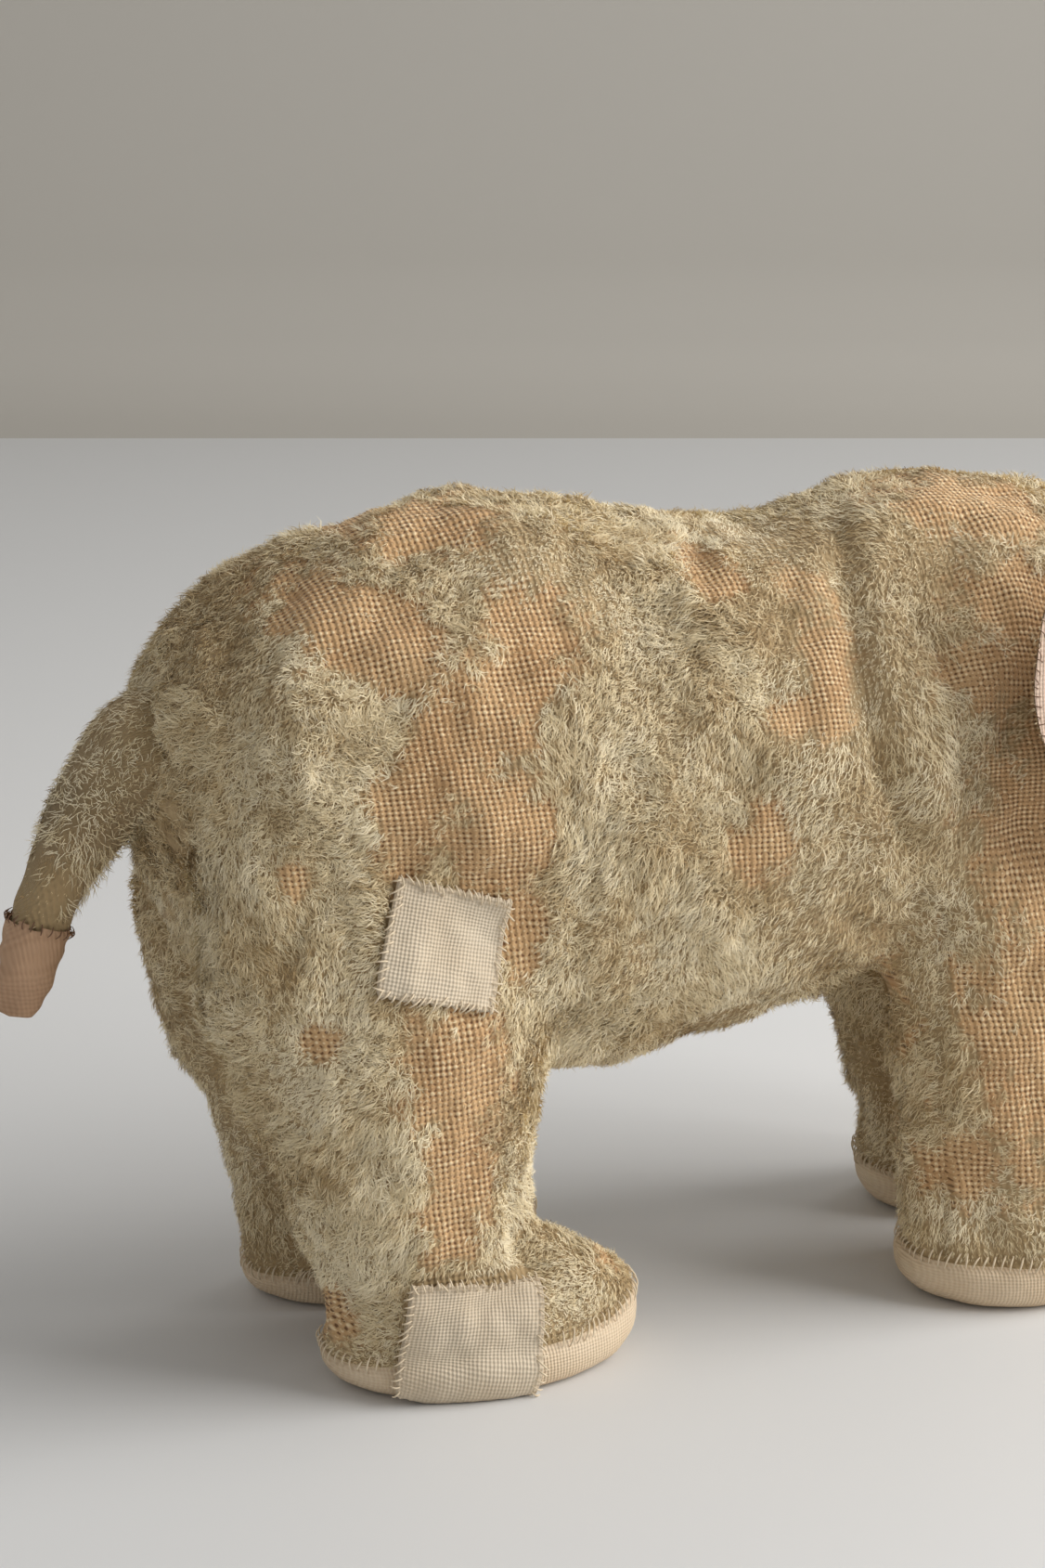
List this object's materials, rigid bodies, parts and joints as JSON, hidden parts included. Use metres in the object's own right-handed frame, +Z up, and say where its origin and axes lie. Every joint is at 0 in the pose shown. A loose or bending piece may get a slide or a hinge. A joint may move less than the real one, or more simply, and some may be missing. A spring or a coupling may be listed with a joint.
{
  "type": "stuffed toy elephant",
  "caption": "Worn mohair elephant standing on straight legs, sewn over hard wood-wool stuffing, with mended patches, cotton foot pads, flapping ears and a swinging tail.",
  "frame": {"origin": "on the floor, under the middle of the elephant's length and width", "axes": "+X towards the head, +Y its left side, +Z up"},
  "size_m": [0.3977, 0.1334, 0.2164],
  "materials": {
    "mohair": "short matted mohair pile, worn in patches to a tan woven backing",
    "cotton_duck": "unbleached plain-weave cotton duck",
    "ear_cotton": "fine faded cotton cloth",
    "wood_wool": "packed fine wood shavings",
    "card": "grey-brown millboard",
    "eye_button": "glossy black shoe button",
    "eye_wire": "dull wire",
    "cream_thread": "waxed cotton thread",
    "dark_thread": "dark brown cotton thread"
  },
  "bodies": {
    "body": {"side_panel_right": "mohair", "side_panel_left": "mohair", "inner_legs_and_belly_right": "mohair", "inner_legs_and_belly_left": "mohair", "head_gusset": "mohair", "chin_gusset": "mohair", "foot_pad_hind_right": "cotton_duck", "foot_pad_hind_left": "cotton_duck", "foot_pad_front_right": "cotton_duck", "foot_pad_front_left": "cotton_duck", "insole_hind_right": "card", "insole_hind_left": "card", "insole_front_right": "card", "insole_front_left": "card", "torso_stuffing": "wood_wool", "head_stuffing": "wood_wool", "trunk_stuffing": "wood_wool", "hind_leg_stuffing_right": "wood_wool", "hind_leg_stuffing_left": "wood_wool", "front_leg_stuffing_right": "wood_wool", "front_leg_stuffing_left": "wood_wool", "eye_right": "eye_button", "eye_left": "eye_button", "eye_shank_right": "eye_wire", "eye_shank_left": "eye_wire", "thigh_patch": "cotton_duck", "foot_patch": "cotton_duck", "stitches_pad_hind_right": "cream_thread", "stitches_pad_hind_left": "cream_thread", "stitches_pad_front_right": "cream_thread", "stitches_pad_front_left": "cream_thread", "stitches_thigh_patch": "cream_thread", "stitches_foot_patch": "cream_thread", "stitches_closing_seam": "cream_thread"},
    "tail": {"tail_stuffing": "wood_wool", "tail_skin": "mohair", "tail_patch_sleeve": "cotton_duck", "stitches_tail_sleeve": "dark_thread"},
    "ear_right": {"ear_back_right": "mohair", "ear_lining_right": "ear_cotton", "stitches_ear_right": "dark_thread"},
    "ear_left": {"ear_back_left": "mohair", "ear_lining_left": "ear_cotton", "stitches_ear_left": "dark_thread"}
  },
  "joints": [
    {"name": "tail_swing", "type": "hinge", "parent": "body", "child": "tail", "pos_m": [-0.1685, 0, 0.148], "axis": [0, 0, 1], "range_deg": [-30, 30], "stiffness_Nm_per_rad": 0.01},
    {"name": "ear_flap_right", "type": "hinge", "parent": "body", "child": "ear_right", "pos_m": [0.108, -0.047, 0.165], "axis": [0, 0, 1], "range_deg": [0, 60], "stiffness_Nm_per_rad": 0.002},
    {"name": "ear_flap_left", "type": "hinge", "parent": "body", "child": "ear_left", "pos_m": [0.108, 0.047, 0.165], "axis": [0, 0, -1], "range_deg": [0, 60], "stiffness_Nm_per_rad": 0.002}
  ]
}
